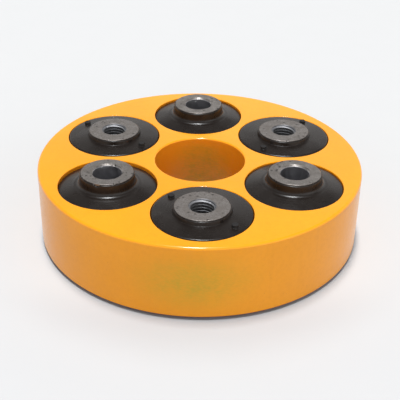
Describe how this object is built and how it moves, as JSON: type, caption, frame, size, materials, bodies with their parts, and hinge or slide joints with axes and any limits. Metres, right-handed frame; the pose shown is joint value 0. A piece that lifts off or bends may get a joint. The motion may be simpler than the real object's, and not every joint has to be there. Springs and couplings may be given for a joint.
{
  "type": "flexible disc coupling",
  "caption": "Round flexible disc coupling: a thick painted ring plate with a centre bore and rubber-bonded bushes that hold plain and tapped steel sleeves in turn.",
  "frame": {"origin": "on the coupling's axis, in the plane of the plain sleeves' feet, which is the flywheel's face", "axes": "+Z along the coupling's axis, from the flywheel towards the pump; +Y through the axis of plain bush 1 and -Y through tapped bush 1"},
  "size_m": [0.204, 0.204, 0.0575],
  "materials": {
    "painted_steel": "gloss",
    "sleeve_steel": "machined",
    "shell_steel": "satin",
    "bush_rubber": "satin"
  },
  "bodies": {
    "ring_plate": {"ring_plate": "painted_steel", "plain_rubber_1": "bush_rubber", "plain_rubber_2": "bush_rubber", "plain_rubber_3": "bush_rubber", "plain_shell_1": "shell_steel", "plain_shell_2": "shell_steel", "plain_shell_3": "shell_steel", "tapped_rubber_1": "bush_rubber", "tapped_rubber_2": "bush_rubber", "tapped_rubber_3": "bush_rubber", "tapped_shell_1": "shell_steel", "tapped_shell_2": "shell_steel", "tapped_shell_3": "shell_steel"},
    "flywheel_side": {"plain_sleeve_1": "sleeve_steel", "plain_sleeve_2": "sleeve_steel", "plain_sleeve_3": "sleeve_steel"},
    "pump_side": {"tapped_sleeve_1": "sleeve_steel", "tapped_sleeve_2": "sleeve_steel", "tapped_sleeve_3": "sleeve_steel"}
  },
  "joints": [
    {"name": "flywheel_side_windup", "type": "hinge", "parent": "ring_plate", "child": "flywheel_side", "pos_m": [0, 0, 0], "axis": [0, 0, 1], "range_deg": [-2, 2], "stiffness_Nm_per_rad": 20000, "deforming": ["plain_rubber_1", "plain_rubber_2", "plain_rubber_3"]},
    {"name": "pump_side_windup", "type": "hinge", "parent": "ring_plate", "child": "pump_side", "pos_m": [0, 0, 0], "axis": [0, 0, 1], "range_deg": [-2, 2], "stiffness_Nm_per_rad": 20000, "deforming": ["tapped_rubber_1", "tapped_rubber_2", "tapped_rubber_3"]}
  ],
  "couplings": [
    {"joint": "pump_side_windup", "follows": "flywheel_side_windup", "ratio": -1}
  ]
}
